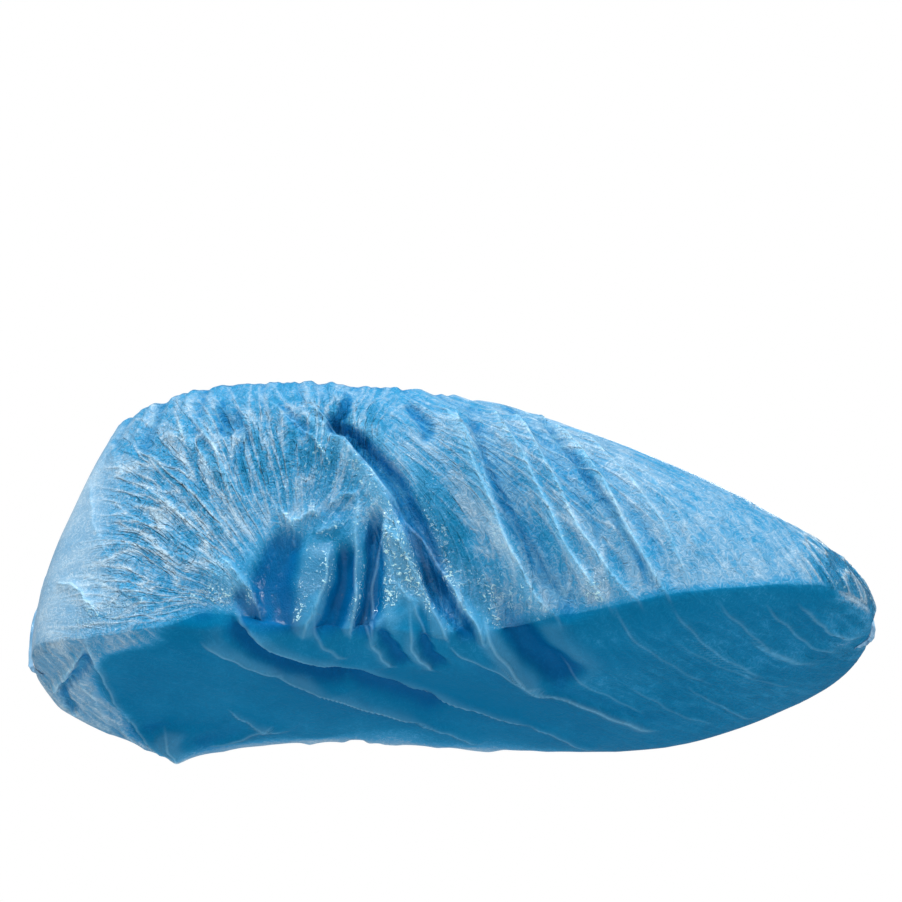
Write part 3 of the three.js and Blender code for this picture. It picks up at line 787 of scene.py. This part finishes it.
def film_marks(turn, drop, main, shape):
    """Values for the shader at each point of the outer film. Those inside the hem stay plain."""
    seen = len(drop)
    base = form(turn, drop)
    level = np.zeros(shape)
    level[:seen] = ((main - base) * facing(turn, drop)).sum(-1)
    mean = level.copy()
    for reach in MEAN_REACHES:
        mean = (mean + np.roll(mean, reach, 1) + np.roll(mean, -reach, 1)) / 3
        mean[2:-2] = (mean[:-4] + mean[2:-2] + mean[4:]) / 3
    relief = level - mean
    near = np.full(shape, NO_CREST)
    share, hollow, tone, glint = (np.zeros(shape) for _ in range(4))
    crisp = np.full(shape, HEM_CRISP)
    near[:seen], share[:seen], hollow[:seen] = folds(turn, drop, base, marks=True)
    tone[:seen], crisp[:seen], glint[:seen] = painted(drop, base)
    # The fold mark is painted shade: darker in the hollows of the relief and along the grooves.
    dip_shade = smooth(-relief / HOLLOW["span"]) * HOLLOW["share"]
    groove = smooth(hollow * 1.5) * HOLLOW["groove"]
    # The crest mark is painted highlight on the raised relief; near and share place the painted
    # highlight lines along the fold crests.
    rise = smooth((relief - CREST_HIGHLIGHT["start"]) / CREST_HIGHLIGHT["span"])
    marks = {
        "fold": np.maximum(dip_shade, groove),
        "crest": rise * (CREST_HIGHLIGHT["share"] + CREST_HIGHLIGHT["crisp"] * smooth(crisp / 0.5)),
        "near": near,
        "share": share * np.exp(-(near / CREST_REACH) ** 2),
        "tone": np.clip(tone * 0.5 + 0.5, 0, 1),
        "crisp": np.clip(crisp, 0.05, 1.2),
        "glint": np.clip(glint, 0, 1),
    }
    for n, (across, along, part) in enumerate(layouts(turn, drop, base)):
        lay = np.zeros((*shape, 3))
        lay[:seen] = np.stack([across, along, part * PER_METRE + 0 * across], -1)
        marks["lay_%d" % n] = lay / PER_METRE
    return marks


def film_cover():
    """The bag: sole, wall, hem over the rim and the flap inside it, as one sheet."""
    turn = np.arange(COLUMNS) / COLUMNS
    sole = np.linspace(2, 1, SOLE_ROWS, endpoint=False)
    wall = np.linspace(1, 0, WALL_ROWS)
    drops = np.concatenate([sole, wall])
    main = film(turn[None, :], drops[:, None], 0.0)
    over = [hem_top(turn, FILM + POCKET / 2, math.pi * k / 4) for k in (1, 2, 3)]
    inner = np.linspace(0, HEM_DROP, FLAP_ROWS)
    flap = film(turn[None, :], inner[:, None], 2 * FILM + POCKET)
    rows = np.concatenate([main, np.stack(over), flap])
    shape = rows.shape[:2]
    faces, used = film_faces(*shape)
    down = np.concatenate([drops, [0] * len(over), -inner])
    cut = np.broadcast_arrays(turn[None, :] * CUT_AROUND, down[:, None] * CUT_DEPTH)
    uv = np.stack(cut, -1).reshape(-1, 2)
    grid_turn, grid_drop = np.broadcast_arrays(turn[None, :], drops[:, None])
    marks = film_marks(grid_turn, grid_drop, main, shape)
    for key, value in marks.items():
        marks[key] = value.reshape(-1, *value.shape[2:])[used]
    return add_mesh("film_bag", rows.reshape(-1, 3)[used], faces, uv[used], marks)


def squarish(v):
    """Bends a circle's coordinate towards a square's."""
    return math.copysign(abs(v) ** BAND_SQUARE, v)


def band():
    """The flat elastic in the hem, with its edges rounded off."""
    turn = np.arange(COLUMNS // 2) / (COLUMNS // 2)
    outer = FILM + CLEAR
    inner = outer + BAND_THICK
    middle = (BAND_FROM + BAND_TO) / 2
    reach = (BAND_TO - BAND_FROM) / 2
    rows = []
    for k in range(BAND_STEPS):
        angle = TAU * k / BAND_STEPS
        drop = middle - reach * squarish(math.sin(angle))
        below = (outer + inner) / 2 - BAND_THICK / 2 * squarish(math.cos(angle))
        rows.append(film(turn, np.full_like(turn, drop), below))
    points = np.stack(rows)
    count, columns = points.shape[:2]
    faces = []
    for j in range(count):
        n = (j + 1) % count
        for i in range(columns):
            k = (i + 1) % columns
            faces.append([j * columns + i, n * columns + i, n * columns + k, j * columns + k])
    return add_mesh("elastic_cord_band", points.reshape(-1, 3), faces)


def seal(name, turn, start, end, seed):
    """A heat-sealed edge: a thin doubled strip, wavy and crumpled, along the end of the film."""
    steps = SEAL_STEPS
    share = np.linspace(0, 1, steps)
    drop = start + (end - start) * share
    root = film(np.full(steps, turn), drop, -CLEAR)
    out = facing(np.full(steps, turn), drop)
    taper = 0.3 + 0.7 * smooth(4 * share) * smooth(4 * (1 - share))
    ragged = 0.75 + 0.35 * noise(share * 23, 0 * share, seed)
    wave = 0.5 * np.sin(TAU * 5 * share + seed) + 0.5 * np.sin(TAU * 11 * share)
    rows = []
    for side in (-1, 1):
        for rise in np.linspace(0, 1, SEAL_ROWS)[::side]:
            high = FIN_HEIGHT * rise * taper * ragged
            p = root + out * high[:, None]
            p[:, 1] += rise * wave * FIN_SWAY + side * (FIN_HALF + FIN_FOOT * (1 - rise) ** 2)
            rows.append(p)
    points = np.stack(rows)
    count = points.shape[0]
    faces = []
    for j in range(count):
        n = (j + 1) % count
        for i in range(steps - 1):
            faces.append([j * steps + i, j * steps + i + 1, n * steps + i + 1, n * steps + i])
    faces.append([j * steps for j in range(count)])
    faces.append([j * steps + steps - 1 for j in range(count)][::-1])
    return add_mesh(name, points.reshape(-1, 3), faces)


def node(tree, kind, **values):
    """A shader node with its sockets or settings given by name."""
    made = tree.nodes.new(kind)
    for key, value in values.items():
        if key in made.inputs:
            made.inputs[key].default_value = value
        else:
            setattr(made, key, value)
    return made


def texture(tree, place, values, kind="ShaderNodeTexNoise"):
    """A texture node that is read at the given place."""
    made = node(tree, kind, **values)
    tree.links.new(place, made.inputs["Vector"])
    return made


def attribute(tree, name, output="Fac"):
    """A value that the mesh holds at its points."""
    return node(tree, "ShaderNodeAttribute", attribute_name=name).outputs[output]


def ramp(tree, source, stops):
    """Colour between the stops, by the source."""
    made = node(tree, "ShaderNodeValToRGB")
    tree.links.new(source, made.inputs["Fac"])
    spots = made.color_ramp.elements
    while len(spots) < len(stops):
        spots.new(0.5)
    for spot, (at, color) in zip(spots, stops):
        spot.position = at
        spot.color = (*color, 1)
    return made.outputs["Color"]


def mix(tree, share, a, b, mode="MIX"):
    """Colour a with b laid over it."""
    made = tree.nodes.new("ShaderNodeMix")
    made.data_type = "RGBA"
    made.blend_type = mode
    for place, value in ((0, share), (6, a), (7, b)):
        if isinstance(value, (int, float, tuple)):
            made.inputs[place].default_value = value
        else:
            tree.links.new(value, made.inputs[place])
    return made.outputs[2]


def maths(tree, operation, a, b=0.0):
    made = tree.nodes.new("ShaderNodeMath")
    made.operation = operation
    for place, value in ((0, a), (1, b)):
        if isinstance(value, (int, float)):
            made.inputs[place].default_value = value
        else:
            tree.links.new(value, made.inputs[place])
    return made.outputs[0]


def plus(tree, a, b):
    return maths(tree, "ADD", a, b)


def minus(tree, a, b):
    return maths(tree, "SUBTRACT", a, b)


def times(tree, a, b):
    return maths(tree, "MULTIPLY", a, b)


def above_zero(tree, a):
    return maths(tree, "MAXIMUM", a, 0.0)


def creased(tree, scale, stretch):
    """Sharp creases laid the four ways of the film, added up by each way's share."""
    total = 0.0
    for n in range(len(STRETCH)):
        parts = node(tree, "ShaderNodeSeparateXYZ")
        tree.links.new(attribute(tree, "lay_%d" % n, "Vector"), parts.inputs[0])
        place = node(tree, "ShaderNodeCombineXYZ")
        tree.links.new(times(tree, parts.outputs[0], scale), place.inputs[0])
        tree.links.new(times(tree, parts.outputs[1], scale / stretch), place.inputs[1])
        waves = texture(tree, place.outputs[0], WAVES)
        fall = maths(tree, "ABSOLUTE", minus(tree, waves.outputs["Fac"], 0.5))
        rest = above_zero(tree, minus(tree, 1.0, times(tree, fall, CREASE_SHARP)))
        crest = maths(tree, "POWER", rest, CREASE_POWER)
        total = plus(tree, total, times(tree, crest, parts.outputs[2]))
    return total


def bumped(tree, height, strength, distance, before=None):
    """A normal bent by the height, on top of the one before it."""
    made = node(tree, "ShaderNodeBump", Distance=distance)
    tree.links.new(height, made.inputs["Height"])
    if isinstance(strength, float):
        made.inputs["Strength"].default_value = strength
    else:
        tree.links.new(strength, made.inputs["Strength"])
    if before:
        tree.links.new(before, made.inputs["Normal"])
    return made.outputs["Normal"]


def creased_tone(tree, place, cloud, normal):
    """Tone and normal of the film with its creases, crinkles, cells and patches; the creases' tone is
    painted highlight on their crests and painted shade between them.
    """
    crinkle = texture(tree, place, CRINKLE)
    facet = maths(tree, "ABSOLUTE", minus(tree, crinkle.outputs["Fac"], 0.5))
    bent = mix(tree, CELL_BEND, place, crinkle.outputs["Color"], "ADD")
    cells = texture(tree, bent, CELLS, "ShaderNodeTexVoronoi").outputs["Distance"]
    lines = creased(tree, **LINES)
    thin = creased(tree, **THIN_LINES)
    crisp = attribute(tree, "crisp")
    # Painted highlight and shade: the tone is raised on the crease crests and lowered between them.
    crease_light_and_shade = times(tree, minus(tree, lines, LINES_MEAN), crisp)
    wrinkle = above_zero(tree, minus(tree, WRINKLE_WIDTH, facet))
    dent = times(tree, minus(tree, cells, 0.5), crisp)
    fleck = times(tree, minus(tree, facet, FACET_MEAN), crisp)
    tone = plus(tree, attribute(tree, "tone"), cloud)
    tone = plus(tree, tone, times(tree, crease_light_and_shade, TONE["lines"]))
    tone = plus(tree, tone, times(tree, wrinkle, TONE["wrinkle"]))
    tone = plus(tree, tone, times(tree, dent, TONE["cells"]))
    tone = minus(tree, tone, times(tree, fleck, TONE["fleck"]))
    for height, key in ((cells, "cells"), (facet, "facet"), (lines, "lines"), (thin, "thin")):
        normal = bumped(tree, height, crisp, RELIEF[key], normal)
    return tone, normal


def film_folds(tree, color, broken, normal):
    """Darkens the hollows with painted shade, lightens the crests with painted highlight and draws
    painted highlight lines along them, broken by the cloud.
    """
    fold_shade = attribute(tree, "fold")
    crest_highlight = attribute(tree, "crest")
    share = attribute(tree, "share")
    # Painted shade: the colour is darkened in the hollows and grooves.
    color = mix(tree, fold_shade, color, FILM_SHADE, "MULTIPLY")
    # Painted highlight: the crests are lightened, and light lines are drawn along the crests of the
    # folds.
    color = mix(tree, crest_highlight, color, FILM_CREST_HIGHLIGHT, "ADD")
    away = maths(tree, "DIVIDE", maths(tree, "ABSOLUTE", attribute(tree, "near")), RIDGE_WIDTH)
    line = times(tree, above_zero(tree, minus(tree, 1.0, away)), share)
    crest_line_highlight = times(tree, times(tree, broken, RIDGE_BREAK), line)
    color = mix(tree, crest_line_highlight, color, FILM_CREST_HIGHLIGHT, "ADD")
    normal = bumped(tree, line, RIDGE_STRENGTH, RELIEF["ridge"], normal)
    raised = plus(tree, RAISED["base"], times(tree, crest_highlight, RAISED["crest"]))
    raised = plus(tree, raised, times(tree, share, RAISED["line"]))
    raised = minus(tree, raised, times(tree, fold_shade, RAISED["fold"]))
    return color, normal, fold_shade, above_zero(tree, raised)


def film_sparks(tree, place, color, normal, fold_shade, raised, shader):
    """Glossy flecks, painted as white glints into the colour where the glint is high, with their bump,
    lower roughness and more coat: colour, normal, roughness and coat.
    """
    glint = attribute(tree, "glint")
    flecks = texture(tree, place, FLECKS).outputs["Fac"]
    over = plus(tree, flecks, times(tree, glint, SPARK["glint"]))
    spark = above_zero(tree, times(tree, minus(tree, over, SPARK["start"]), SPARK["sharp"]))
    gloss_and_painted_glint = times(tree, times(tree, maths(tree, "MINIMUM", spark, 1.0), raised), glint)
    # Painted glints: white flecks laid into the colour where the glint is high.
    color = mix(tree, gloss_and_painted_glint, color, FILM_PAINTED_GLINT)
    calm = above_zero(tree, minus(tree, glint, fold_shade))
    normal = bumped(tree, flecks, calm, RELIEF["flecks"], normal)
    rough = minus(tree, GLOSS["rough"], times(tree, glint, GLOSS["gloss_and_painted_glint"]))
    tree.links.new(rough, shader.inputs["Roughness"])
    coat = plus(tree, GLOSS["coat"], times(tree, glint, GLOSS["wet_coat"]))
    tree.links.new(coat, shader.inputs["Coat Weight"])
    return color, normal


def empty_material(name):
    """A new material and its shader."""
    made = bpy.data.materials.new(name)
    made.use_nodes = True
    return made, made.node_tree.nodes["Principled BSDF"]


def film_material(name, whole):
    """Thin blue film: embossed, creased along its pull, glossy, paler where it stands loose."""
    made, shader = empty_material(name)
    tree = made.node_tree
    place = node(tree, "ShaderNodeTexCoord").outputs["Object"]
    patches = texture(tree, place, CLOUD).outputs["Fac"]
    cloud = times(tree, minus(tree, patches, 0.5), TONE["cloud"])
    crumple = texture(tree, place, CRUMPLE).outputs["Fac"]
    grain = texture(tree, place, GRAIN).outputs["Fac"]
    normal = bumped(tree, crumple, CRUMPLE_STRENGTH, RELIEF["crumple"])
    if whole:
        tone, normal = creased_tone(tree, place, cloud, normal)
        color = ramp(tree, tone, FILM_TONES)
        color, normal, fold_shade, raised = film_folds(tree, color, patches, normal)
        color, normal = film_sparks(tree, place, color, normal, fold_shade, raised, shader)
    else:
        tone = plus(tree, times(tree, cloud, SEAL_TONE["cloud"]), SEAL_TONE["base"])
        color = ramp(tree, tone, FILM_TONES)
        shader.inputs["Roughness"].default_value = SEAL_GLOSS["rough"]
        shader.inputs["Coat Weight"].default_value = SEAL_GLOSS["coat"]
    tree.links.new(color, shader.inputs["Base Color"])
    shader.inputs["IOR"].default_value = FILM_IOR
    shader.inputs["Specular Tint"].default_value = FILM_SHEEN
    shader.inputs["Coat Roughness"].default_value = COAT_ROUGHNESS
    normal = bumped(tree, grain, GRAIN_STRENGTH, RELIEF["grain"], normal)
    tree.links.new(normal, shader.inputs["Normal"])
    tree.links.new(normal, shader.inputs["Coat Normal"])
    return made


def band_material():
    """Matt white elastic with a fine rib."""
    made, shader = empty_material("white_elastic")
    tree = made.node_tree
    place = node(tree, "ShaderNodeTexCoord").outputs["Object"]
    ribs = texture(tree, place, ELASTIC_NOISE).outputs["Fac"]
    tree.links.new(ramp(tree, ribs, ELASTIC_TONES), shader.inputs["Base Color"])
    shader.inputs["Roughness"].default_value = ELASTIC_ROUGHNESS
    bump = node(tree, "ShaderNodeBump", **ELASTIC_BUMP)
    tree.links.new(ribs, bump.inputs["Height"])
    tree.links.new(bump.outputs["Normal"], shader.inputs["Normal"])
    return made


def floor_material():
    made, shader = empty_material("pale_floor")
    shader.inputs["Base Color"].default_value = (*FLOOR_COLOR, 1)
    shader.inputs["Roughness"].default_value = FLOOR_ROUGHNESS
    return made


def area_light(name, place, aim, size, power):
    data = bpy.data.lights.new(name, "AREA")
    data.shape = "DISK"
    data.size = size
    data.energy = power
    made = bpy.data.objects.new(name, data)
    made.location = place
    made.rotation_euler = (Vector(aim) - Vector(place)).to_track_quat("-Z", "Y").to_euler()
    bpy.context.collection.objects.link(made)


def sky():
    """A plain white sky, softer as a light than it looks to the camera."""
    world = bpy.data.worlds.new("studio")
    bpy.context.scene.world = world
    world.use_nodes = True
    tree = world.node_tree
    back = tree.nodes["Background"]
    back.inputs["Color"].default_value = (1, 1, 1, 1)
    path = tree.nodes.new("ShaderNodeLightPath")
    level = node(tree, "ShaderNodeMapRange")
    tree.links.new(path.outputs["Is Camera Ray"], level.inputs["Value"])
    level.inputs["To Min"].default_value = SKY
    level.inputs["To Max"].default_value = 1.0
    tree.links.new(level.outputs["Result"], back.inputs["Strength"])


def stage():
    """The floor, the sky and the lights."""
    bpy.ops.mesh.primitive_plane_add(size=FLOOR_SIZE, location=(0, 0, FLOOR))
    floor = bpy.context.object
    floor.name = "floor"
    floor.data.materials.append(floor_material())
    sky()
    bpy.context.scene.view_settings.view_transform = "Standard"
    for row in LIGHTS:
        area_light(**row)


def camera():
    """Looks up at the near side and the sole."""
    data = bpy.data.cameras.new("camera")
    data.lens = LENS
    data.sensor_width = SENSOR
    made = bpy.data.objects.new("camera", data)
    tilt = math.radians(ELEVATION)
    aim = Vector((AIM[0], 0, AIM[1]))
    made.location = aim + Vector((0, -math.cos(tilt), math.sin(tilt))) * DISTANCE
    made.rotation_euler = (aim - made.location).to_track_quat("-Z", "Y").to_euler()
    bpy.context.collection.objects.link(made)
    bpy.context.scene.camera = made


camera()
stage()
film_obj = film_cover()
film_obj.data.materials.append(film_material("blue_film", True))
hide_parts("film_cover")
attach(film_obj, BODY)
band_obj = band()
band_obj.data.materials.append(band_material())
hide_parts("elastic_band")
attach(band_obj, BODY)
seal_material = film_material("sealed_film", False)
for name, node_name, place in SEALS:
    piece = seal(name, *place, seed=SEAL_SEED)
    piece.data.materials.append(seal_material)
    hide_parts(node_name)
    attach(piece, BODY)
